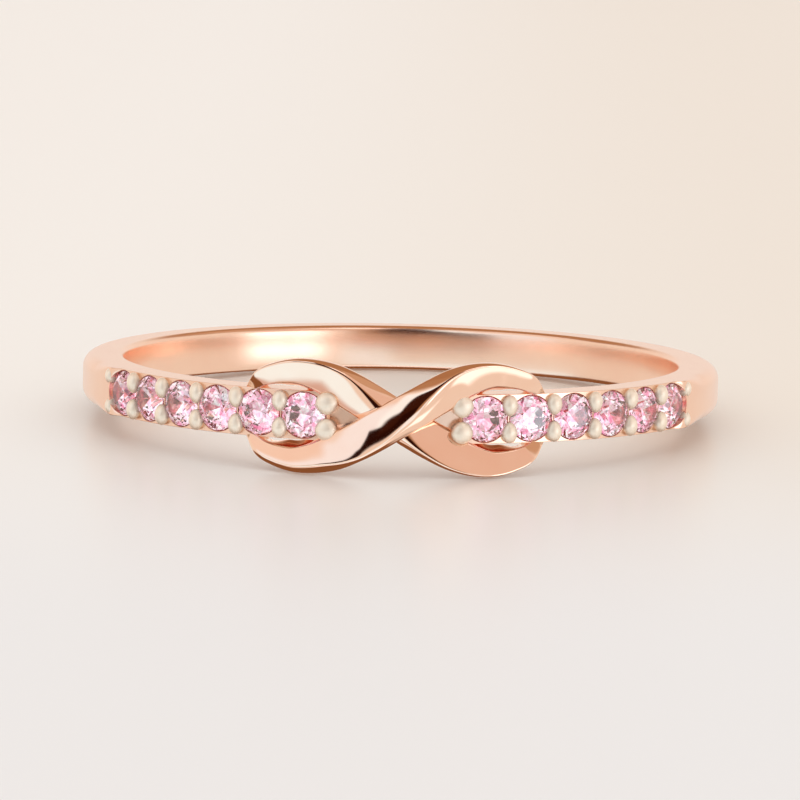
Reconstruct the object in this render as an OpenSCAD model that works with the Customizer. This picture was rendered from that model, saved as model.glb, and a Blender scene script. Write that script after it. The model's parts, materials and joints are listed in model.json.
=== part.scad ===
// Rose gold ring with a figure-of-eight knot and a row of pink stones on each side of it.
// Millimetres. The finger goes along the bore, the knot faces -Y, and the ring lies on its side.

/* [Finger] */
// Inside diameter of the ring
finger_d = 17.3; // [14:0.1:22]

/* [Stones] */
// Diameter of a round stone at its girdle
stone_d = 1.35; // [1.1:0.05:1.6]
// Number of stones on each side of the knot
stones_per_side = 6; // [3:1:8]
// Space between the girdles of two neighbours
stone_space = 0.08; // [0.06:0.01:0.25]
// Air between a stone and its seat
seat_gap = 0.02; // [0.01:0.005:0.04]

/* [Band] */
// Metal between a seat and the side of the band
rim_w = 0.03; // [0.02:0.01:0.15]
// Metal between the point of a stone and the finger
floor_t = 0.45; // [0.35:0.05:1]
// Rounding of the outer edges of the plain band
edge_r = 0.3; // [0.15:0.05:0.45]
// Rounding of the edges beside the finger
comfort_r = 0.12; // [0.05:0.01:0.25]

/* [Prongs] */
// Diameter of the bead on a prong between two stones
prong_d = 0.48; // [0.4:0.02:0.6]
// Diameter of the beads on the two prongs nearest the crossing
end_prong_d = 0.56; // [0.4:0.02:0.64]
// Distance of a bead from the side of the band
prong_inset = 0.05; // [0.02:0.01:0.1]
// Height of the prongs above the plain band
prong_rise = 0.1; // [0.05:0.01:0.2]

/* [Knot] */
// Length of the figure of eight along the band
knot_l = 9.65; // [8:0.05:12]
// Height of the figure of eight across the band
knot_h = 3.42; // [2.8:0.05:4.5]
// Width of a strand where the two cross
strand_w = 1.2; // [0.9:0.05:1.4]
// Thickness of a strand at the lobes
strand_t = 0.85; // [0.7:0.05:1.1]
// Height of the strands above the plain band, at the lobes
lobe_rise = 0.2; // [0.1:0.02:0.4]
// How far one strand climbs and the other dips at the crossing
cross_step = 0.38; // [0.3:0.02:0.5]
// Space between the strands and the finger
strand_clear = 0.1; // [0.05:0.01:0.2]
// Bare length from the crossing to the first stone
plate_l = 2.03; // [1.6:0.05:3]
// Depth of the bare plates below the stone bar
plate_drop = 0.25; // [0.1:0.05:0.4]

/* [Hidden] */
$fn = 96;

// Proportions of a round brilliant, as shares of its diameter
table_share = 0.57;
crown_share = 0.15;
girdle_share = 0.03;
pavilion_share = 0.43;

// The stone decides how wide and how thick the band is
finger_r = finger_d / 2;
stone_r = stone_d / 2;
crown_h = crown_share * stone_d;
girdle_h = girdle_share * stone_d;
pavilion_h = pavilion_share * stone_d;
band_w = stone_d + 2 * (seat_gap + rim_w);
out_r = finger_r + floor_t + seat_gap + pavilion_h + girdle_h + crown_h;
girdle_r = out_r - crown_h - girdle_h;
bar_r = girdle_r + girdle_h;
plate_r = bar_r - plate_drop;

// Angles are measured round the ring from the crossing, positive to the right
function turn_of(length, r) = length / r * 180 / PI;
stone_pitch = turn_of(stone_d + stone_space, girdle_r);
first_stone = turn_of(plate_l + stone_r, girdle_r);
last_stone = first_stone + (stones_per_side - 1) * stone_pitch;
row_start = first_stone - stone_pitch / 2;
row_end = last_stone + stone_pitch / 2;

// Puts its children at an angle round the ring, with their own Z pointing outwards from the finger
module around(turn) {
    rotate([0, 0, turn]) rotate([90, 0, 0]) children();
}

// A stretch of the ring between two angles, from a profile drawn as [radius, height]
module stretch(from, to) {
    rotate([0, 0, from - 90]) rotate_extrude(angle = to - from) children();
}

function arc_points(center, r, from, to, steps) =
    [for (i = [0:steps]) let (t = from + (to - from) * i / steps) center + r * [cos(t), sin(t)]];

module band_profile() {
    half = band_w / 2;
    polygon(concat(
        arc_points([finger_r + comfort_r, comfort_r - half], comfort_r, 180, 270, 4),
        arc_points([out_r - edge_r, edge_r - half], edge_r, 270, 360, 8),
        arc_points([out_r - edge_r, half - edge_r], edge_r, 0, 90, 8),
        arc_points([finger_r + comfort_r, half - comfort_r], comfort_r, 90, 180, 4)
    ));
}

// The full hoop, cut down under the stones and again under the crossing, where it narrows to a waist
module hoop() {
    waist_turn = 2.5;
    waist_half = 0.2 * band_w;
    margin = 0.02;
    lap = 0.01;
    above = 1;
    difference() {
        rotate_extrude() band_profile();
        for (side = [-1, 1])
            stretch(side > 0 ? row_start : -row_end, side > 0 ? row_end : -row_start)
                translate([bar_r, -band_w]) square([above, 2 * band_w]);
        stretch(-row_start - lap, row_start + lap)
            translate([plate_r, -band_w]) square([above, 2 * band_w]);
        for (side = [-1, 1])
            translate([0, -finger_r / 2, 0]) rotate([90, 0, 0])
                linear_extrude(finger_r) polygon([
                    [-plate_r * sin(row_start), side * (band_w / 2 + margin)],
                    [-plate_r * sin(waist_turn), side * waist_half],
                    [plate_r * sin(waist_turn), side * waist_half],
                    [plate_r * sin(row_start), side * (band_w / 2 + margin)],
                    [plate_r * sin(row_start), side * band_w],
                    [-plate_r * sin(row_start), side * band_w]
                ]);
    }
}

// One strand from the crossing to its tip, in equal steps along the lobe:
// height as a share of the lobe's, height as a share of the band's edge, width as a share of strand_w,
// rise as a share of lobe_rise, step as a share of cross_step, thickness as a share of strand_t,
// and the ridge's place from middle to outer edge, first on the strand on top and then on the other
strand_rows = [
    [0,    0,    1,    0.6,  1,    1.35, 0,   0],
    [0.26, 0,    0.96, 0.65, 0.92, 1.3,  0.1, 0.42],
    [0.52, 0,    0.91, 0.75, 0.66, 1.2,  0.2, 0.6],
    [0.76, 0,    0.86, 0.9,  0.33, 1.05, 0.3, 0.72],
    [0.93, 0,    0.77, 1,    0.1,  1,    0.4, 0.82],
    [1,    0,    0.64, 1,    0,    1,    0.5, 0.88],
    [0.89, 0.11, 0.55, 0.85, 0,    1.05, 0.6, 0.88],
    [0.6,  0.4,  0.45, 0.4,  0,    1.1,  0.6, 0.85],
    [0,    1,    0.2,  -1.3, 0,    1,    0.6, 0.8]
];
row_count = len(strand_rows) - 1;

// A row at any whole step: steps before the crossing repeat the rows with the heights and ridge turned over
function row_at(k) = let (row = strand_rows[min(abs(k), row_count)])
    k < 0 ? [-row[0], -row[1], row[2], row[3], row[4], row[5], -row[6], -row[7]] : row;

// A smooth curve through the rows: position u runs from -1 at one tip over 0 at the crossing to 1
function strand_at(u) = let (
        p = u * row_count,
        k = min(floor(p), row_count - 1),
        t = p - k,
        a = row_at(k - 1), b = row_at(k), c = row_at(k + 1), d = row_at(k + 2)
    ) b + t / 2 * (c - a + t * (2 * a - 5 * b + 4 * c - d + t * (3 * b - 3 * c + d - a)));

// The row where a lobe is highest
lobe_row = 5;
lobe_w = strand_w * strand_rows[lobe_row][2];
lobe_z = (knot_h - lobe_w) / 2;
lobe_r = out_r + lobe_rise;

// A tip ends inside the band, this far from the band's side
tip_inset = 0.13;
tip_z = band_w / 2 - tip_inset;

// Height of a strand's rounded top as a share of its width, and its width beside the finger as a share
dome_share = 0.34;
base_share = 0.6;

// How the ring lies: on the lower sides of both lobes and on the edge of the band at the back
lobe_turn = turn_of(knot_l / 2, lobe_r) * lobe_row / row_count;
front_rest = (lobe_r - dome_share * lobe_w) * cos(lobe_turn);
back_rest = out_r - edge_r;
lie_tilt = atan((knot_h - band_w) / 2 / (front_rest + back_rest));

module lying() {
    rotate([-lie_tilt, 0, 0]) children();
}

// Middle line of a strand as [length along the band, height across it]
function middle_of(u) = let (row = strand_at(u)) [u * knot_l / 2, lobe_z * row[0] + tip_z * row[1]];

// Height of a strand's rounded top at v, from -1 on one edge over the ridge to 1 on the other
function crown_of(v, ridge) = let (
        reach = v > ridge ? (v - ridge) / (1 - ridge) : (ridge - v) / (1 + ridge)
    ) 1 - pow(reach, 1.9);

top_steps = 8;

// Section of a strand at u. level is 1 for the strand on top and -1 for the one below.
function section_of(u, level) = let (
        row = strand_at(u),
        middle = middle_of(u),
        ahead = middle_of(u + 0.002) - middle_of(u - 0.002),
        across = [-ahead[1], ahead[0]] / norm(ahead),
        half = strand_w * row[2] / 2,
        top = out_r + lobe_rise * row[3] + level * cross_step * row[4],
        ridge = level > 0 ? row[6] : row[7],
        dome = dome_share * 2 * half,
        base = max(finger_r + strand_clear, top - strand_t * row[5]),
        ring = concat(
            [for (i = [0:top_steps]) let (v = -1 + 2 * i / top_steps)
                [v, top - dome + dome * crown_of(v, ridge)]],
            [[base_share, base], [-base_share, base]]
        )
    ) [for (q = ring) let (
            place = middle + across * half * q[0],
            turn = turn_of(place[0], lobe_r)
        ) [q[1] * sin(turn), -q[1] * cos(turn), place[1]]];

module strand(level) {
    sections = 44;
    corners = top_steps + 3;
    // The strand below is the strand on top turned over, so its heights change sign
    flip = level;
    points = [for (k = [0:sections]) for (q = section_of(-1 + 2 * k / sections, level)) [q[0], q[1], flip * q[2]]];
    sides = [for (k = [0:sections - 1]) for (i = [0:corners - 1]) let (
            a = k * corners + i,
            b = k * corners + (i + 1) % corners
        ) each [[a, b, b + corners], [a, b + corners, a + corners]]];
    first = [for (i = [corners - 1:-1:0]) i];
    last = [for (i = [0:corners - 1]) sections * corners + i];
    faces = concat(sides, [first], [last]);
    polyhedron(points, flip < 0 ? [for (f = faces) [for (i = [len(f) - 1:-1:0]) f[i]]] : faces);
}

// A prong: a post that stands in the bar, with a bead on its end
module prong(bead_d) {
    post_share = 0.85;
    bead_r = bead_d / 2;
    foot_r = finger_r + floor_t;
    bead_at = out_r + prong_rise - bead_r;
    translate([0, 0, foot_r]) cylinder(h = bead_at - foot_r, r = post_share * bead_r);
    translate([0, 0, bead_at]) sphere(r = bead_r);
}

// Pairs of prongs before, between and after the stones of each row
module prongs() {
    for (side = [-1, 1]) for (edge = [-1, 1])
        for (k = [0:stones_per_side]) let (bead_d = k == 0 ? end_prong_d : prong_d)
            around(side * (row_start + k * stone_pitch))
                translate([0, edge * (band_w / 2 - prong_inset - bead_d / 2), 0]) prong(bead_d);
}

// The room that a stone takes in the metal: its own outline with the air round it
module stone_room() {
    r = stone_r + seat_gap;
    table_r = table_share * stone_r + seat_gap;
    point_r = 0.03;
    lap = 0.001;
    above = 1;
    translate([0, 0, girdle_r]) {
        translate([0, 0, -pavilion_h - seat_gap]) cylinder(h = pavilion_h, r1 = point_r, r2 = r);
        translate([0, 0, -seat_gap - lap]) cylinder(h = girdle_h + 2 * seat_gap, r = r);
        translate([0, 0, girdle_h + seat_gap - 2 * lap]) cylinder(h = crown_h, r1 = r, r2 = table_r);
        translate([0, 0, girdle_h + crown_h + seat_gap - 4 * lap]) cylinder(h = above, r = table_r);
    }
}

module ring_metal() {
    color("#E2AD92") lying() difference() {
        union() {
            hoop();
            strand(1);
            strand(-1);
            prongs();
        }
        for (side = [-1, 1]) for (k = [0:stones_per_side - 1])
            around(side * (first_stone + k * stone_pitch)) stone_room();
    }
}

function circle_points(r, z, count, from) =
    [for (k = [0:count - 1]) let (t = from + k * 360 / count) [r * cos(t), r * sin(t), z]];

// A round brilliant: a table, 8 stars, 8 kites, 16 upper facets, a girdle, 16 lower facets, 8 mains
module brilliant() {
    table_r = table_share * stone_r;
    step = 22.5;
    star_r = (table_r * cos(step) + stone_r) / 2;
    star_z = girdle_h + crown_h * (stone_r - star_r * cos(step)) / (stone_r - table_r);
    low_r = 0.8 * stone_r;
    low_z = -pavilion_h * (1 - low_r * cos(step) / stone_r);
    table = 0;
    star = 8;
    upper = 16;
    lower = 32;
    low = 48;
    culet = 56;
    points = concat(
        circle_points(table_r, girdle_h + crown_h, 8, step),
        circle_points(star_r, star_z, 8, 0),
        circle_points(stone_r, girdle_h, 16, 0),
        circle_points(stone_r, 0, 16, 0),
        circle_points(low_r, low_z, 8, 0),
        [[0, 0, -pavilion_h]]
    );
    faces = concat(
        [[for (k = [0:7]) table + k]],
        [for (k = [0:7]) let (
                next = (k + 1) % 8,
                before = upper + (2 * k + 15) % 16,
                at = upper + 2 * k,
                after = upper + 2 * k + 1
            ) each [
            [table + k, table + (k + 7) % 8, star + k],
            [table + k, star + k, after, star + next],
            [star + k, before, at],
            [star + k, at, after]
        ]],
        [for (k = [0:15]) let (next = (k + 1) % 16)
            [upper + k, lower + k, lower + next, upper + next]],
        [for (k = [0:7]) let (
                next = (k + 1) % 8,
                before = lower + (2 * k + 15) % 16,
                at = lower + 2 * k,
                after = lower + 2 * k + 1
            ) each [
            [low + k, at, before],
            [low + k, after, at],
            [culet, low + next, after, low + k]
        ]]
    );
    polyhedron(points, [for (f = faces) [for (i = [len(f) - 1:-1:0]) f[i]]]);
}

// side is -1 on the left and 1 on the right, and place counts from the knot outwards
module stone(side, place) {
    facet_turn = 37 * place + (side > 0 ? 15 : 0);
    if (place <= stones_per_side)
        color("#E58DB6") lying()
            around(side * (first_stone + (place - 1) * stone_pitch))
                translate([0, 0, girdle_r]) rotate([0, 0, facet_turn]) brilliant();
}

ring_metal();
stone(-1, 1);  // stone_left_1
stone(-1, 2);  // stone_left_2
stone(-1, 3);  // stone_left_3
stone(-1, 4);  // stone_left_4
stone(-1, 5);  // stone_left_5
stone(-1, 6);  // stone_left_6
stone(1, 1);  // stone_right_1
stone(1, 2);  // stone_right_2
stone(1, 3);  // stone_right_3
stone(1, 4);  // stone_right_4
stone(1, 5);  // stone_right_5
stone(1, 6);  // stone_right_6
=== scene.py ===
# Dresses the rose gold ring with the figure-of-eight knot and its pink stones.
# Ring coordinates are (turn, radius, height): turn is measured from the crossing, positive to the right.
import json
import math

import bmesh
import bpy
import numpy as np
from mathutils import Matrix, Vector


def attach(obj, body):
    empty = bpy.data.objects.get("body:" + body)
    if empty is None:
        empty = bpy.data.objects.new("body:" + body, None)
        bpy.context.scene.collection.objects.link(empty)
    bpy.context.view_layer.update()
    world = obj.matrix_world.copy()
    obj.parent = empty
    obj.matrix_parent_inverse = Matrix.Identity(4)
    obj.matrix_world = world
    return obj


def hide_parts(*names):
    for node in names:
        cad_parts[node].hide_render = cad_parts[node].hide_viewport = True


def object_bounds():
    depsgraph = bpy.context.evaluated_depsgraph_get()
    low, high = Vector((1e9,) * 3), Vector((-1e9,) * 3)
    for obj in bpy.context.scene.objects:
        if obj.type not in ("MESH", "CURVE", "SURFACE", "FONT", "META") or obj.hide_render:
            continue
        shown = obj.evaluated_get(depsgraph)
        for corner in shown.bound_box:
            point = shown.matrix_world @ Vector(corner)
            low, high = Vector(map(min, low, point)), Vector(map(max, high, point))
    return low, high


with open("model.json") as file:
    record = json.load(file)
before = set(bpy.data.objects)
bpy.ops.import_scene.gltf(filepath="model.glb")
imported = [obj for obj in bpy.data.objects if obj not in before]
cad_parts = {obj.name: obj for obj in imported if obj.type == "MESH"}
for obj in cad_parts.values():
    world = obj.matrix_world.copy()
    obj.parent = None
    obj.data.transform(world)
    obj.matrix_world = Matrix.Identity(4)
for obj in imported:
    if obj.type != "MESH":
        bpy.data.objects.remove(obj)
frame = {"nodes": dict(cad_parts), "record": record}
cadLow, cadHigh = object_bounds()
mm = 0.001
print("frame loaded")

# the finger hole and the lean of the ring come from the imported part, the rest are its sizes in millimetres
fingerHole = frame["record"]["mounts"][0]
lieTilt = math.atan2(fingerHole["axis"][1], fingerHole["axis"][2])

ring = dict(
    fingerRadius=fingerHole["dims"]["r_mm"],
    stoneWide=1.35,
    stonesPerSide=6,
    stoneSpace=0.08,
    seatGap=0.02,
    rimWide=0.03,
    floorThick=0.45,
    plateLong=2.03,
    plateDrop=0.25,
    crownShare=0.15,
    girdleShare=0.03,
    pavilionShare=0.43,
)
tiny = 1e-6     # keeps the section at the very start of the row on the row's side
stoneRadius = ring["stoneWide"] / 2
crownHigh = ring["crownShare"] * ring["stoneWide"]
girdleHigh = ring["girdleShare"] * ring["stoneWide"]
pavilionHigh = ring["pavilionShare"] * ring["stoneWide"]
bandHalf = stoneRadius + ring["seatGap"] + ring["rimWide"]
outRadius = ring["fingerRadius"] + ring["floorThick"] + ring["seatGap"] + pavilionHigh + girdleHigh + crownHigh
girdleRadius = outRadius - crownHigh - girdleHigh
barRadius = girdleRadius + girdleHigh
plateRadius = barRadius - ring["plateDrop"]
pitchTurn = (ring["stoneWide"] + ring["stoneSpace"]) / girdleRadius
firstStone = (ring["plateLong"] + stoneRadius) / girdleRadius
stoneTurns = firstStone + pitchTurn * np.arange(ring["stonesPerSide"])
rowStart = stoneTurns[0] - pitchTurn / 2
rowEnd = stoneTurns[-1] + pitchTurn / 2


def leanBack(points):
    # turns points about X by the lean: y' = y cos t + z sin t, z' = -y sin t + z cos t
    c, s = math.cos(lieTilt), math.sin(lieTilt)
    x, y, z = points[..., 0], points[..., 1], points[..., 2]
    return np.stack([x, y * c + z * s, -y * s + z * c], axis=-1)


def onRing(turn, radius, height):
    # x = r sin a, y = -r cos a, z = height, leaned back, in metres
    turn, radius, height = np.broadcast_arrays(turn, radius, height)
    return leanBack(np.stack([radius * np.sin(turn), -radius * np.cos(turn), height], axis=-1)) * mm


def atStone(turn, across, height, out):
    # across and out are measured in the flat plane that touches the ring at the turn
    return onRing(turn + np.arctan2(across, out), np.hypot(across, out), height)


def smoothStep(low, high, value):
    # 0 up to low, 1 from high on, and 3 t^2 - 2 t^3 of the share t of the way between
    t = np.clip((value - low) / (high - low), 0, 1)
    return t * t * (3 - 2 * t)


def gridFaces(rows, columns, closeRows=False):
    # quads between rows of points stored one after another, each row a closed loop
    r = np.arange(rows if closeRows else rows - 1)[:, None]
    c = np.arange(columns)[None, :]
    nextRow, nextColumn = (r + 1) % rows, (c + 1) % columns
    return np.stack(np.broadcast_arrays(
        r * columns + c, r * columns + nextColumn, nextRow * columns + nextColumn, nextRow * columns + c,
    ), axis=-1)


def capFaces(first, count, pole):
    # a fan of triangles from one closed row of points to a pole
    k = np.arange(count)
    return np.stack([first + k, first + (k + 1) % count, np.full(count, pole)], axis=-1)


def buildPiece(name, chunks, material, sharpAngle):
    # joins chunks of (points, list of face arrays), welds them and turns every face outwards
    points, faces, start = [], [], 0
    for chunkPoints, faceArrays in chunks:
        flat = chunkPoints.reshape(-1, 3)
        points.append(flat)
        for array in faceArrays:
            faces += (array.reshape(-1, array.shape[-1]) + start).tolist()
        start += len(flat)
    mesh = bpy.data.meshes.new(name)
    mesh.from_pydata(np.concatenate(points).tolist(), [], faces)
    work = bmesh.new()
    work.from_mesh(mesh)
    bmesh.ops.remove_doubles(work, verts=work.verts, dist=0.001 * mm)
    bmesh.ops.recalc_face_normals(work, faces=work.faces)
    work.to_mesh(mesh)
    work.free()
    mesh.shade_smooth()
    mesh.set_sharp_from_angle(angle=math.radians(sharpAngle))
    mesh.materials.append(material)
    piece = bpy.data.objects.new(name, mesh)
    bpy.context.scene.collection.objects.link(piece)
    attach(piece, "root")
    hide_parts("ring_metal")
    print(name, "has", len(mesh.polygons), "faces")


def colour(hexValue):
    # sRGB hex to linear, each channel ((c + 0.055) / 1.055) ^ 2.4 above the dark end
    channels = [int(hexValue[k:k + 2], 16) / 255 for k in (1, 3, 5)]
    return tuple(c / 12.92 if c <= 0.04045 else ((c + 0.055) / 1.055) ** 2.4 for c in channels) + (1.0,)


def addNode(tree, kind, settings=None, links=None):
    # settings hold properties or input values, links hold the output that feeds an input
    node = tree.nodes.new(kind)
    for key, value in (settings or {}).items():
        if isinstance(key, int) or key in node.inputs:
            node.inputs[key].default_value = value
        else:
            setattr(node, key, value)
    for key, output in (links or {}).items():
        tree.links.new(output, node.inputs[key])
    return node


def newMaterial(name):
    # an empty node tree to build a finish in
    material = bpy.data.materials.new(name)
    material.use_nodes = True
    tree = material.node_tree
    tree.nodes.clear()
    return material, tree


# rose gold: a mirror with a warm tint, broken only by faint polishing waves and hairlines. The knot is clear and
# bright, the band is soft with wear, and the beads are rougher and half matt, with their gold painted a pale cream:
# a painted highlight for the light they catch. Real hairlines are finer than a pixel, so they are drawn just coarse
# enough to show.
goldFinish = dict(waveSize=0.9, waveDetail=2.0, waveDepth=0.004, waveStrength=0.25, hairSize=0.05, hairDetail=1.0,
                  hairRange=(0.3, 0.7), hairShare=0.08)
polish = dict(tint="#FCDAC2", deepTint="#F9CDB2", roughness=0.07, metallic=1.0)
wear = dict(tint="#FDD9BF", deepTint="#FACEB4", roughness=0.24, metallic=1.0)
# the beads' tint is painted pale cream, a painted highlight that stands in for the light they catch
beadsPaintedCream = dict(tint="#FFF3E0", deepTint="#FFEBD4", roughness=0.45, metallic=0.5)


def roseGold(name, finish):
    material, tree = newMaterial(name)
    place = addNode(tree, "ShaderNodeTexCoord")
    waves = addNode(tree, "ShaderNodeTexNoise", {"Scale": 1 / (goldFinish["waveSize"] * mm),
                                                 "Detail": goldFinish["waveDetail"]},
                    {"Vector": place.outputs["Object"]})
    tint = addNode(tree, "ShaderNodeMix", {"data_type": "RGBA", 6: colour(finish["tint"]),
                                           7: colour(finish["deepTint"])}, {0: waves.outputs["Fac"]})
    hair = addNode(tree, "ShaderNodeTexNoise", {"Scale": 1 / (goldFinish["hairSize"] * mm),
                                                "Detail": goldFinish["hairDetail"]},
                   {"Vector": place.outputs["Object"]})
    low, high = goldFinish["hairRange"]
    rough = addNode(tree, "ShaderNodeMapRange", {
        "From Min": low, "From Max": high, "To Min": finish["roughness"] * (1 - goldFinish["hairShare"]),
        "To Max": finish["roughness"] * (1 + goldFinish["hairShare"])}, {"Value": hair.outputs["Fac"]})
    bump = addNode(tree, "ShaderNodeBump", {"Strength": goldFinish["waveStrength"],
                                            "Distance": goldFinish["waveDepth"] * mm},
                   {"Height": waves.outputs["Fac"]})
    gold = addNode(tree, "ShaderNodeBsdfPrincipled", {"Metallic": finish["metallic"]},
                   {"Base Color": tint.outputs[2], "Roughness": rough.outputs["Result"],
                    "Normal": bump.outputs["Normal"]})
    addNode(tree, "ShaderNodeOutputMaterial", None, {"Surface": gold.outputs["BSDF"]})
    return material


# pink cubic zirconia, cut and polished: clear, with painted flashes: its colour breaks up into small painted patches
# of white, pale and deep pink
stoneFinish = dict(patchSize=0.16, ior=2.15, clear=1.0,
                   paintedFlashes=[(0.0, "#FFFFFF"), (0.3, "#FFE0EC"), (0.55, "#FABFD6"), (0.78, "#EE97B8"),
                            (0.93, "#D97498")])


def pinkStone():
    material, tree = newMaterial("cutPinkZirconia")
    place = addNode(tree, "ShaderNodeTexCoord")
    # painted flashes: random cells paint the stone white, pale or deep pink, standing in for the sparkle of light in
    # the cut
    paintedFlashPatches = addNode(tree, "ShaderNodeTexVoronoi", {"Scale": 1 / (stoneFinish["patchSize"] * mm)},
                      {"Vector": place.outputs["Object"]})
    pick = addNode(tree, "ShaderNodeSeparateColor", None, {"Color": paintedFlashPatches.outputs["Color"]})
    tint = addNode(tree, "ShaderNodeValToRGB", None, {"Fac": pick.outputs["Red"]})
    tint.color_ramp.interpolation = "CONSTANT"
    steps = tint.color_ramp.elements
    for k, (share, shade) in enumerate(stoneFinish["paintedFlashes"]):
        step = steps[k] if k < len(steps) else steps.new(share)
        step.position, step.color = share, colour(shade)
    gem = addNode(tree, "ShaderNodeBsdfPrincipled", {"Roughness": 0.0, "IOR": stoneFinish["ior"],
                                                     "Transmission Weight": stoneFinish["clear"]},
                  {"Base Color": tint.outputs["Color"]})
    addNode(tree, "ShaderNodeOutputMaterial", None, {"Surface": gem.outputs["BSDF"]})
    return material


# white laminate sheet, moulded smooth: a pale floor with painted shade, warmer and darker to the right, and greyer
# near the camera
floorFinish = dict(light="#F2EBE3", paintedShadeWarm="#ECDFD0", near="#E9E6E4", paintedShadeFrom=-14, paintedShadeTo=16, paintedGreyFrom=8, paintedGreyTo=-32,
                   rough=0.32)


def paleFloor():
    material, tree = newMaterial("paleLaminate")
    place = addNode(tree, "ShaderNodeTexCoord")
    along = addNode(tree, "ShaderNodeSeparateXYZ", None, {"Vector": place.outputs["Object"]})
    # painted shade: the floor's colour is darkened and warmed to the right and greyed towards the camera, standing in
    # for uneven light
    across = addNode(tree, "ShaderNodeMapRange", {
        "interpolation_type": "SMOOTHSTEP", "From Min": floorFinish["paintedShadeFrom"] * mm,
        "From Max": floorFinish["paintedShadeTo"] * mm}, {"Value": along.outputs["X"]})
    tint = addNode(tree, "ShaderNodeMix", {"data_type": "RGBA", 6: colour(floorFinish["light"]),
                                           7: colour(floorFinish["paintedShadeWarm"])}, {0: across.outputs["Result"]})
    paintedGreyShare = addNode(tree, "ShaderNodeMapRange", {
        "interpolation_type": "SMOOTHSTEP", "From Min": floorFinish["paintedGreyFrom"] * mm,
        "From Max": floorFinish["paintedGreyTo"] * mm}, {"Value": along.outputs["Y"]})
    tint = addNode(tree, "ShaderNodeMix", {"data_type": "RGBA", 7: colour(floorFinish["near"])},
                   {0: paintedGreyShare.outputs["Result"], 6: tint.outputs[2]})
    sheet = addNode(tree, "ShaderNodeBsdfPrincipled", {"Roughness": floorFinish["rough"]},
                    {"Base Color": tint.outputs[2]})
    addNode(tree, "ShaderNodeOutputMaterial", None, {"Surface": sheet.outputs["BSDF"]})
    return material


# camera: the photo looks at the front from just above, and the ring sits a little high in the picture
view = dict(distance=150.0, above=6.87, right=0.93, roll=1.22, lens=215.1, aimDrop=0.65, sensor=36.0,
            clip=(0.01, 10.0))


def placeCamera():
    # the eye stands at distance * (sin right cos above, -cos right cos above, sin above) and looks at a point
    # just below the ring's middle; all of this leans back with the ring
    above, right = math.radians(view["above"]), math.radians(view["right"])
    back = np.array([math.sin(right) * math.cos(above), -math.cos(right) * math.cos(above), math.sin(above)])
    up = np.array([0.0, 0.0, 1.0])
    side = np.cross(up, back)
    side /= np.linalg.norm(side)
    up = np.cross(back, side)
    aim = -up * view["aimDrop"]
    eye = back * view["distance"]
    look = eye - aim
    look /= np.linalg.norm(look)
    up = np.cross(look, side)
    turned = Matrix([leanBack(v).tolist() for v in (side, up, look)]).transposed()
    camera = bpy.data.objects.new("camera", bpy.data.cameras.new("camera"))
    bpy.context.scene.collection.objects.link(camera)
    camera.matrix_world = (Matrix.Translation(Vector(leanBack(eye).tolist()) * mm)
                           @ turned.to_4x4() @ Matrix.Rotation(math.radians(view["roll"]), 4, "Z"))
    camera.data.lens = view["lens"]
    camera.data.sensor_width = view["sensor"]
    camera.data.clip_start, camera.data.clip_end = view["clip"]
    bpy.context.scene.camera = camera


placeCamera()
print("camera placed")

# shank: one closed skin. Its section is a rectangle with rounded corners, carried round the finger, with
# half width w(a), outer radius R(a) and corner radius c(a). Under the stones the outer face gives way to seats.
# riseSpan and edgeSpan say where, past the last stone, the outer face and its rounded edges reach full size.
shank = dict(edgeRound=0.42, innerRound=0.18, innerShare=0.6, innerTilt=6.0, rowEdge=0.012, plateEdge=0.07,
             riseSpan=(0.1, 0.6), edgeSpan=(0.3, 1.6), waistTurn=2.5, waistShare=0.2, waistMargin=0.02, stepLong=0.03,
             cellPoints=16, arcPoints=8, sidePoints=5, facePoints=10, platePoints=40, nearPoints=40, backPoints=130,
             nearLong=2.4, nearGrowth=1.3, rimSteps=(0.0, 0.5, 1.0), wellSteps=(0.25, 0.5, 0.75, 0.97), sharp=35)


def outerLevel(turn):
    # R(a): the plates' radius, then the stone bar's, rising past the last stone to the band's
    a = np.abs(turn)
    start, end = shank["riseSpan"]
    rise = smoothStep(stoneTurns[-1] + start / girdleRadius, stoneTurns[-1] + end / girdleRadius, a)
    bar = barRadius + (outRadius - barRadius) * rise
    return np.where(a < rowStart - tiny, plateRadius, bar)


def halfWidth(turn):
    # w(a): half the band, but inside the row the plates narrow in a straight line to a waist under the crossing
    a = np.abs(turn)
    x = plateRadius * np.sin(a)
    near = plateRadius * math.sin(math.radians(shank["waistTurn"]))
    far = plateRadius * math.sin(rowStart)
    waist = shank["waistShare"] * 2 * bandHalf
    taper = waist + (bandHalf + shank["waistMargin"] - waist) * np.clip((x - near) / (far - near), 0, 1)
    return np.where(a < rowStart, np.minimum(taper, bandHalf), bandHalf)


def cornerRound(turn):
    # c(a): nearly sharp on the plates and along the row, growing past the row to the band's round edge
    a = np.abs(turn)
    start, end = shank["edgeSpan"]
    flow = smoothStep(stoneTurns[-1] + start / girdleRadius, rowEnd + end / girdleRadius, a)
    bar = shank["rowEdge"] + (shank["edgeRound"] - shank["rowEdge"]) * flow
    return np.where(a < rowStart - tiny, shank["plateEdge"], bar)


def cellEdge():
    # where the lines from a stone's axis meet the side of its square cell, as shares from -1 to 1
    return np.tan(np.linspace(-math.pi / 4, math.pi / 4, shank["cellPoints"] + 1))


def shankSections():
    # the turns at which the band has a section: plate, stones, the part that grows, and the back
    cell = cellEdge() * pitchTurn / 2
    plate = np.linspace(0, rowStart - shank["stepLong"] / girdleRadius, shank["platePoints"])
    cells = (stoneTurns[:, None] + cell[None, :-1]).ravel()
    growing = np.linspace(0, 1, shank["nearPoints"]) ** shank["nearGrowth"]
    near = rowEnd + growing * shank["nearLong"] / girdleRadius
    back = np.linspace(near[-1], math.pi, shank["backPoints"])[1:]
    right = np.concatenate([plate, cells, near, back])
    return np.concatenate([-right[1:][::-1], right[:-1]])


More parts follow.
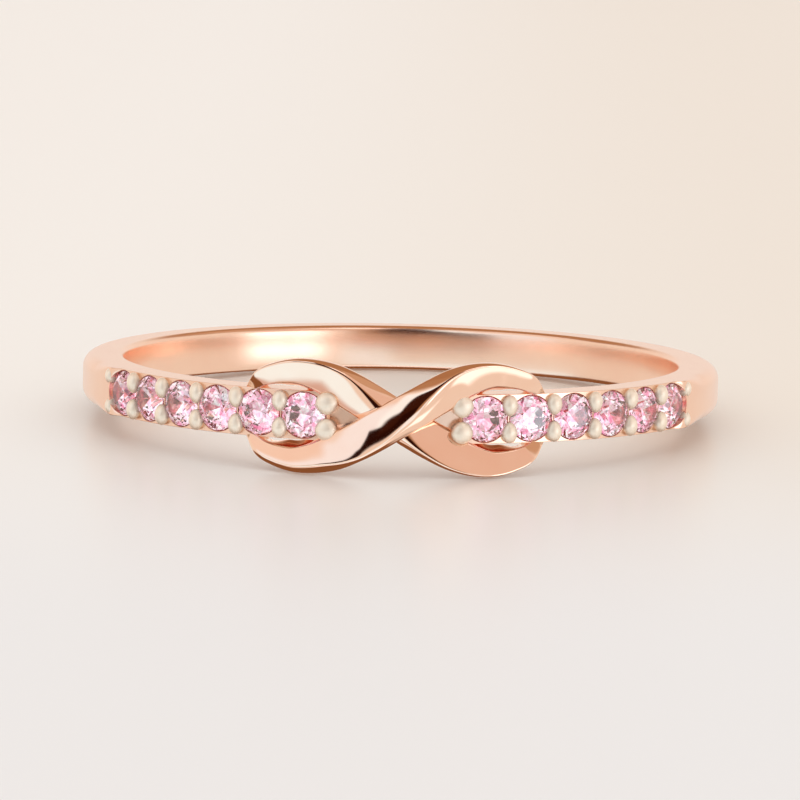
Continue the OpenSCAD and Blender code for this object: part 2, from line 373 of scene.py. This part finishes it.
def shankSection(turn):
    # points (radius, height) round the section at each turn, starting on the outer face's lower edge;
    # the face beside the finger is a shallow dome that runs into the rounded edges without a crease
    out, half, corner = (f(turn)[:, None] for f in (outerLevel, halfWidth, cornerRound))
    soft = np.minimum(shank["innerRound"], half * shank["innerShare"])
    tilt = math.radians(shank["innerTilt"])
    domeHalf = half - soft * (1 - math.sin(tilt))
    inner = ring["fingerRadius"] + domeHalf * math.tan(tilt) / 2 - soft * (1 - math.cos(tilt))
    face = cellEdge()[None, :]
    arc = np.linspace(0, math.pi / 2, shank["arcPoints"] + 1)[None, 1:]
    innerArc = arc * (1 - tilt * 2 / math.pi)
    side = np.linspace(0, 1, shank["sidePoints"] + 1)[None, 1:]
    flat = np.linspace(1, -1, shank["facePoints"] + 1)[None, 1:-1]
    upperRadius = np.concatenate([out - corner + corner * np.cos(arc),
                                  (out - corner) + (inner + soft - out + corner) * side,
                                  inner + soft - soft * np.sin(innerArc)], axis=1)
    upperHeight = np.concatenate([half - corner + corner * np.sin(arc), half * np.ones_like(side),
                                  half - soft + soft * np.cos(innerArc)], axis=1)
    domeRadius = ring["fingerRadius"] + domeHalf * math.tan(tilt) / 2 * flat ** 2
    return (np.concatenate([out * np.ones_like(face), upperRadius, domeRadius, upperRadius[:, ::-1]], axis=1),
            np.concatenate([(half - corner) * face, upperHeight, domeHalf * flat, -upperHeight[:, ::-1]], axis=1))


def seatChunk(turn):
    # rings of points round a stone's axis: from its square cell to the rim, down the wall and to the point
    angle = np.arange(4 * shank["cellPoints"]) * 2 * math.pi / (4 * shank["cellPoints"]) - math.pi / 4
    cosine, sine = np.cos(angle), np.sin(angle)
    reach = 1 / np.maximum(np.abs(cosine), np.abs(sine))
    edgeTurn = turn + cosine * reach * pitchTurn / 2
    edgeHeight = sine * reach * (bandHalf - cornerRound(edgeTurn))
    seat = stoneRadius + ring["seatGap"]
    rim = seat + shank["rowEdge"]
    rimTurn = turn + np.arcsin(rim * cosine / barRadius)
    rows = []
    for share in shank["rimSteps"]:
        a = edgeTurn + (rimTurn - edgeTurn) * share
        rows.append(onRing(a, outerLevel(a), edgeHeight + (rim * sine - edgeHeight) * share))
    level = outerLevel(turn + np.arcsin(seat * cosine / barRadius))
    out = np.sqrt(level ** 2 - (seat * cosine) ** 2)
    ledge = girdleRadius - ring["seatGap"]
    for share in shank["rimSteps"]:
        depth = (out - shank["rowEdge"]) * (1 - share) + ledge * share
        rows.append(atStone(turn, seat * cosine, seat * sine, depth))
    for share in shank["wellSteps"]:
        radius = seat * (1 - share)
        rows.append(atStone(turn, radius * cosine, radius * sine, ledge - pavilionHigh * share))
    pole = atStone(turn, np.zeros(1), np.zeros(1), ledge - pavilionHigh)
    count = len(angle)
    points = np.concatenate([np.concatenate(rows), pole])
    return points, [gridFaces(len(rows), count), capFaces((len(rows) - 1) * count, count, len(rows) * count)]


def buildShank(material):
    # the sections joined all the way round, with the outer face left open in the row for the seats
    turn = shankSections()
    radius, height = shankSection(turn)
    points = onRing(turn[:, None], radius, height)
    faces = gridFaces(*radius.shape, closeRows=True)
    middle = np.abs(turn + np.roll(turn, -1)) / 2
    middle[-1] = math.pi
    inRow = (middle > rowStart) & (middle < rowEnd)
    keep = np.ones(faces.shape[:2], bool)
    keep[inRow, :shank["cellPoints"]] = False
    seats = [seatChunk(side * a) for side in (-1, 1) for a in stoneTurns]
    buildPiece("shank", [(points, [faces[keep]])] + seats, material, shank["sharp"])


# strands: a lens-shaped section with a soft ridge, carried along a smooth curve through the rows.
# Each row: height as a share of the lobe's, height as a share of the tip's, width, rise, step and
# thickness as shares of their sizes, and the ridge's place between the middle and the outer edge.
# The crown is a smooth arch at the crossing and turns into two nearly flat slopes with a ridge on the lobes.
# Pairs are stretches along the strand, from -1 at one tip to 1 at the other, over which something comes or goes.
knot = dict(long=9.65, high=3.42, strandWide=1.2, strandThick=0.85, lobeRise=0.2, crossStep=0.38, clear=0.1,
            tipInset=0.13, base=0.6, innerBase=1.45, innerFrom=(0.15, 0.35), innerTo=(0.9, 0.72), lobeRow=5,
            archDome=0.2, lobeDome=0.34, archPower=2.0, lobePower=1.25, lobeSpan=(0.05, 0.45),
            overShift=0.16, underShift=0.06, underDip=0.4, lean=0.15, leanMiddle=0.3, leanTo=(0.5, 0.15),
            sway=0.06, swayFrom=(-0.6, -0.3), swayTo=(0.1, -0.2), roundSpan=(0.22, 0.5), roundShift=0.62,
            roundPower=2.0, sections=260, reach=0.002, topPoints=41, sidePoints=12, basePoints=19, softening=3,
            sharp=50)
knotRows = np.array([
    [0.00, 0.0, 1.00, 0.60, 1.00, 1.35, 0.00],
    [0.26, 0.0, 1.00, 0.65, 0.92, 1.30, 0.35],
    [0.52, 0.0, 0.97, 0.75, 0.66, 1.20, 0.65],
    [0.76, 0.0, 0.90, 0.90, 0.33, 1.05, 0.80],
    [0.93, 0.0, 0.77, 1.00, 0.10, 1.00, 0.86],
    [1.00, 0.0, 0.64, 1.00, 0.00, 1.00, 0.88],
    [0.89, 0.11, 0.55, 0.85, 0.00, 1.05, 0.88],
    [0.60, 0.40, 0.45, 0.40, 0.00, 1.10, 0.85],
    [0.00, 1.0, 0.20, -1.3, 0.00, 1.00, 0.80],
])


def strandRow(u):
    # u from -1 at one tip to 1 at the other; a curve through the rows that keeps its slope at each row
    last = len(knotRows) - 1
    turned = knotRows * np.array([-1, -1, 1, 1, 1, 1, -1])
    table = np.concatenate([turned[-1:], turned[:0:-1], knotRows, knotRows[-1:]])
    p = u * last
    k = np.minimum(np.floor(p).astype(int), last - 1)
    t = (p - k)[:, None]
    a, b, c, d = (table[k + last + 1 + shift] for shift in (-1, 0, 1, 2))
    return b + t / 2 * (c - a + t * (2 * a - 5 * b + 4 * c - d + t * (3 * b - 3 * c + d - a)))


def strandMiddle(u):
    # along = u * half the knot's length, height = the lobe's share and the tip's share of their heights
    row = strandRow(u)
    lobeHeight = (knot["high"] - knot["strandWide"] * knotRows[knot["lobeRow"], 2]) / 2
    height = lobeHeight * row[:, 0] + (bandHalf - knot["tipInset"]) * row[:, 1]
    return np.stack([u * knot["long"] / 2, height], axis=-1)


def strandOutline(ridge, power, outerPower, footRight, footLeft):
    # the section round once, in shares: across from -1 to 1, and depth below the ridge in domes (0 to 1),
    # then as a share of the thickness (1 to 2) down the tapered sides and along the base
    top = np.linspace(-1, 1, knot["topPoints"])[None, :]
    reach = np.where(top > ridge, (top - ridge) / (1 - ridge), (ridge - top) / (1 + ridge))
    down = reach ** np.where((top > ridge) == (ridge > 0), outerPower, power)
    sides = np.linspace(0, 1, knot["sidePoints"])[1:][None, :]
    base = np.linspace(0, 1, knot["basePoints"])[1:][None, :]
    back = np.linspace(1, 0, knot["sidePoints"])[1:-1][None, :]
    blank = np.ones_like(ridge)
    across = np.concatenate([top * blank, 1 + (footRight - 1) * sides, footRight - (footRight + footLeft) * base,
                             -1 - (footLeft - 1) * back], axis=1)
    depth = np.concatenate([down, (1 + sides) * blank, 2 * np.ones_like(base) * blank, (1 + back) * blank], axis=1)
    return across, depth


def buildStrand(name, level, material):
    # each point lies at middle + sideways * half width * across, and at the ridge's radius - dome * depth; the
    # lower strand is the upper one turned over in height
    u = np.linspace(-1, 1, knot["sections"])
    row = strandRow(u)
    middle = strandMiddle(u)
    # the upper strand hangs a little lower on its way to the crossing
    if level > 0:
        middle[:, 1] -= knot["sway"] * smoothStep(*knot["swayFrom"], u) * smoothStep(*knot["swayTo"], u)
    ahead = strandMiddle(np.clip(u + knot["reach"], -1, 1)) - strandMiddle(np.clip(u - knot["reach"], -1, 1))
    ahead /= np.linalg.norm(ahead, axis=1, keepdims=True)
    sideways = np.stack([-ahead[:, 1], ahead[:, 0]], axis=-1)
    half = knot["strandWide"] * row[:, 2] / 2
    lobe = smoothStep(*knot["lobeSpan"], np.abs(u))
    # the ridges change sides a little above the crossing
    shift = knot["overShift"] if level > 0 else -knot["underShift"]
    ridge = strandRow(np.clip(u - shift, -1, 1))[:, 6:7]
    power = (knot["archPower"] + (knot["lobePower"] - knot["archPower"]) * lobe)[:, None]
    # on the upper strand's left lobe the ridge comes in and its outer side is round
    rounding = smoothStep(*knot["roundSpan"], -u)[:, None] * (level > 0)
    # the foot is narrow, but on the lobes its inner side widens towards the finger
    widening = [smoothStep(*knot["innerFrom"], side * u) * smoothStep(*knot["innerTo"], side * u) for side in (-1, 1)]
    feet = [knot["base"] + (knot["innerBase"] - knot["base"]) * share[:, None] for share in widening]
    across, depth = strandOutline(ridge * (1 - knot["roundShift"] * rounding), power,
                                  power + (knot["roundPower"] - power) * rounding, *feet)
    step = knot["crossStep"] * (1 if level > 0 else knot["underDip"])
    top = outRadius + knot["lobeRise"] * row[:, 3] + level * step * row[:, 4]
    dome = (knot["archDome"] + (knot["lobeDome"] - knot["archDome"]) * lobe) * 2 * half
    base = np.maximum(ring["fingerRadius"] + knot["clear"], top - knot["strandThick"] * row[:, 5])
    radius = np.where(depth < 1, top[:, None] - dome[:, None] * depth,
                      (top - dome)[:, None] + (base - top + dome)[:, None] * (depth - 1))
    # the lower strand's left part and middle are turned up a little
    lean = knot["lean"] * half * smoothStep(*knot["leanTo"], u) * (level < 0)
    radius += lean[:, None] * (across - knot["leanMiddle"]) * np.clip(2 - depth, 0, 1)
    place = middle[:, None, :] + sideways[:, None, :] * (half[:, None] * across)[..., None]
    # soften the ridge and the corners: each pass takes a quarter from both neighbours round the section
    section = np.concatenate([place, radius[..., None]], axis=-1)
    for _ in range(knot["softening"]):
        section = section / 2 + (np.roll(section, 1, axis=1) + np.roll(section, -1, axis=1)) / 4
    turn = section[..., 0] / (outRadius + knot["lobeRise"])
    points = onRing(turn, section[..., 2], level * section[..., 1])
    count = points.shape[1]
    ends = points[[0, -1]].mean(axis=1)
    flat = np.concatenate([points.reshape(-1, 3), ends])
    total = points.shape[0] * count
    faces = [gridFaces(points.shape[0], count), capFaces(0, count, total), capFaces(total - count, count, total + 1)]
    buildPiece(name, [(flat, faces)], material, knot["sharp"])


# prongs: an oval bead on a post between two stones, a little narrower towards the middle of the band
prong = dict(wide=0.47, tall=0.63, rise=0.1, crown=0.2, endWide=0.66, endTall=0.66, inset=0.01, narrow=0.12,
             outerShare=0.8, below=30.0, footDeep=0.3, rings=14, around=28, sharp=60)


def prongChunk(turn, edge, wide, tall):
    # the bead is half an ellipsoid and a little more, then a post goes straight down into the bar
    lat = np.linspace(math.pi / 2, -math.radians(prong["below"]), prong["rings"])[1:][:, None]
    around = np.arange(prong["around"])[None, :] * 2 * math.pi / prong["around"]
    squeeze = 1 - prong["narrow"] * np.clip(-edge * np.sin(around), 0, 1)
    centre = edge * (bandHalf - prong["inset"] - tall / 2)
    across = wide / 2 * np.cos(lat) * np.cos(around) * squeeze
    height = centre + tall / 2 * np.cos(lat) * np.sin(around)
    beadAt = outRadius + prong["rise"] - prong["crown"]
    out = beadAt + prong["crown"] * np.sin(lat) * np.ones_like(around)
    foot = barRadius - prong["footDeep"]
    bead = atStone(turn, across, height, out)
    post = atStone(turn, across[-1:], height[-1:], np.full_like(out[-1:], foot))
    poles = np.stack([atStone(turn, 0.0, centre, outRadius + prong["rise"]), atStone(turn, 0.0, centre, foot)])
    sides = np.concatenate([bead, post]).reshape(-1, 3)
    count, total = prong["around"], len(sides)
    return np.concatenate([sides, poles]), [
        gridFaces(total // count, count), capFaces(0, count, total), capFaces(total - count, count, total + 1)]


def buildProngs(material):
    # a pair at the start of the row and one after every stone, the same on both sides of the knot
    chunks = []
    for k in range(ring["stonesPerSide"] + 1):
        wide, tall = (prong["endWide"], prong["endTall"]) if k == 0 else (prong["wide"], prong["tall"])
        if k == ring["stonesPerSide"]:
            wide, tall = wide * prong["outerShare"], tall * prong["outerShare"]
        chunks += [prongChunk(side * (rowStart + k * pitchTurn), edge, wide, tall)
                   for side in (-1, 1) for edge in (-1, 1)]
    buildPiece("prongs", chunks, material, prong["sharp"])


polished = roseGold("polishedRoseGold", polish)
buildShank(roseGold("wornRoseGold", wear))
buildStrand("strand_over", 1, polished)
buildStrand("strand_under", -1, polished)
# the prongs take the rose gold with its tint painted pale cream, a painted highlight
buildProngs(roseGold("roseGoldPaintedCream", beadsPaintedCream))

gem = pinkStone()
for name, node in frame["nodes"].items():
    if name.startswith("stone_"):
        node.data.materials.clear()
        node.data.materials.append(gem)
print("stones dressed")


def buildFloor():
    half = 2.0
    mesh = bpy.data.meshes.new("floor")
    low = cadLow.z
    mesh.from_pydata([(-half, -half, low), (half, -half, low), (half, half, low), (-half, half, low)], [],
                     [(0, 1, 2, 3)])
    floor = bpy.data.objects.new("floor", mesh)
    bpy.context.scene.collection.objects.link(floor)
    mesh.materials.append(paleFloor())
    # the metal mirrors the painted room below and not the floor itself
    floor.visible_glossy = False


# studio light: an even pale room with soft boxes and darker places, each given by its middle (turn from the
# front, positive to the right, and height above the horizon), half size and soft edge, all in degrees
room = dict(walls=("#FFF8F2", 0.96), floorLight=("#FFFFFF", 1.08), stoneLight=("#FFF6FA", 1.65), stoneShare=0.75,
            seen="#F3ECE4", bounces=24, glossyBounces=16)
roomPatches = [
    dict(turn=0, up=-90, wide=180, tall=88, soft=3, shade="#FBF4EE", strength=0.95),    # pale table
    dict(turn=0, up=-90, wide=180, tall=28, soft=8, shade="#8A5E3E", strength=1.0),     # shade under the ring
    dict(turn=-150, up=-50, wide=80, tall=22, soft=8, shade="#8A5E3E", strength=1.0),   # shade behind the ring
    dict(turn=0, up=90, wide=180, tall=22, soft=12, shade="#B8906E", strength=1.0),     # warm top card
    dict(turn=180, up=50, wide=80, tall=20, soft=6, shade="#B08562", strength=1.0),     # brown card, behind
    dict(turn=0, up=-49, wide=35, tall=5, soft=5, shade="#F6F8FF", strength=1.6),       # lit table, near
    dict(turn=-50, up=-38, wide=26, tall=4, soft=6, shade="#DEC6C0", strength=1.0),     # edge of the lit table
    dict(turn=-35, up=-25, wide=42, tall=7, soft=6, shade="#D6F0FF", strength=1.5),     # lit table, front left
    dict(turn=16, up=-9, wide=8, tall=9, soft=5, shade="#E0F2FF", strength=1.4),        # lit table, front
    dict(turn=48, up=-32, wide=9, tall=5, soft=5, shade="#F0F8FF", strength=1.7),       # lit spot, right
    dict(turn=30, up=33, wide=32, tall=14, soft=8, shade="#EBD2C6", strength=1.0),      # peach card, right
    dict(turn=25, up=59, wide=20, tall=5, soft=5, shade="#F6F8FF", strength=2.0),       # high soft box
    dict(turn=102, up=49, wide=28, tall=9, soft=12, shade="#D0AE92", strength=1.0),     # brown card, right
    dict(turn=-55, up=42, wide=28, tall=9, soft=10, shade="#FBEDE6", strength=1.0),     # pink card, left
    dict(turn=-42, up=18, wide=20, tall=12, soft=12, shade="#E4F0FF", strength=1.3),    # large soft box, left
    dict(turn=-17, up=30, wide=10, tall=22, soft=8, shade="#DCF0FF", strength=1.5),     # tall soft box, left
    dict(turn=12, up=9, wide=7, tall=9, soft=5, shade="#B08A6A", strength=1.0),         # brown card, front
    dict(turn=52, up=1, wide=16, tall=9, soft=4, shade="#EAF4FF", strength=2.9),        # soft box, right
    dict(turn=-2, up=32, wide=12, tall=32, soft=4, shade="#3A1A0E", strength=1.0),      # dark flag, upright
    dict(turn=-15, up=5, wide=22, tall=6, soft=3, shade="#2A0E06", strength=1.0),       # dark flag, lying
    dict(turn=-17, up=12, wide=4, tall=4, soft=6, shade="#3A1A0E", strength=1.0),       # dark flag, corner
]


def lightRoom():
    world = bpy.data.worlds.new("softRoom")
    bpy.context.scene.world = world
    world.use_nodes = True
    tree = world.node_tree
    tree.nodes.clear()
    way = addNode(tree, "ShaderNodeTexCoord")
    axes = addNode(tree, "ShaderNodeSeparateXYZ", None, {"Vector": way.outputs["Generated"]})
    front = addNode(tree, "ShaderNodeMath", {"operation": "MULTIPLY", 1: -1.0}, {0: axes.outputs["Y"]})
    turn = addNode(tree, "ShaderNodeMath", {"operation": "ARCTAN2"}, {0: axes.outputs["X"], 1: front.outputs[0]})
    up = addNode(tree, "ShaderNodeMath", {"operation": "ARCSINE"}, {0: axes.outputs["Z"]})

    def inside(angle, middle, half, soft):
        # 1 within half of the middle, falling smoothly to 0 over the soft edge
        away = addNode(tree, "ShaderNodeMath", {"operation": "SUBTRACT", 1: math.radians(middle)}, {0: angle})
        near = addNode(tree, "ShaderNodeMath", {"operation": "WRAP", 1: math.pi, 2: -math.pi}, {0: away.outputs[0]})
        size = addNode(tree, "ShaderNodeMath", {"operation": "ABSOLUTE"}, {0: near.outputs[0]})
        return addNode(tree, "ShaderNodeMapRange", {
            "interpolation_type": "SMOOTHSTEP", "From Min": math.radians(half), "From Max": math.radians(half + soft),
            "To Min": 1.0, "To Max": 0.0}, {"Value": size.outputs[0]}).outputs["Result"]

    def light(hexValue, strength):
        return tuple(c * strength for c in colour(hexValue)[:3]) + (1.0,)

    walls = addNode(tree, "ShaderNodeRGB")
    walls.outputs[0].default_value = light(*room["walls"])
    shade = walls.outputs[0]
    for patch in roomPatches:
        across = inside(turn.outputs[0], patch["turn"], patch["wide"], patch["soft"])
        along = inside(up.outputs[0], patch["up"], patch["tall"], patch["soft"])
        both = addNode(tree, "ShaderNodeMath", {"operation": "MULTIPLY"}, {0: across, 1: along})
        shade = addNode(tree, "ShaderNodeMix", {"data_type": "RGBA", 7: light(patch["shade"], patch["strength"])},
                        {0: both.outputs[0], 6: shade}).outputs[2]
    # matt surfaces get an even light, the stones look into a brighter room, the camera itself sees pale walls
    path = addNode(tree, "ShaderNodeLightPath")
    through = addNode(tree, "ShaderNodeMath", {"operation": "MULTIPLY", 1: room["stoneShare"]},
                      {0: path.outputs["Is Transmission Ray"]})
    shade = addNode(tree, "ShaderNodeMix", {"data_type": "RGBA", 7: light(*room["stoneLight"])},
                    {0: through.outputs[0], 6: shade}).outputs[2]
    shade = addNode(tree, "ShaderNodeMix", {"data_type": "RGBA", 7: light(*room["floorLight"])},
                    {0: path.outputs["Is Diffuse Ray"], 6: shade}).outputs[2]
    shade = addNode(tree, "ShaderNodeMix", {"data_type": "RGBA", 7: colour(room["seen"])},
                    {0: path.outputs["Is Camera Ray"], 6: shade}).outputs[2]
    back = addNode(tree, "ShaderNodeBackground", {"Strength": 1.0}, {"Color": shade})
    addNode(tree, "ShaderNodeOutputWorld", None, {"Surface": back.outputs["Background"]})
    bpy.context.scene.view_settings.view_transform = "Standard"
    # light bounces often inside a cut stone before it leaves it
    paths = bpy.context.scene.cycles
    paths.max_bounces = paths.transmission_bounces = room["bounces"]
    paths.glossy_bounces = room["glossyBounces"]


buildFloor()
lightRoom()
print("floor and light in place")
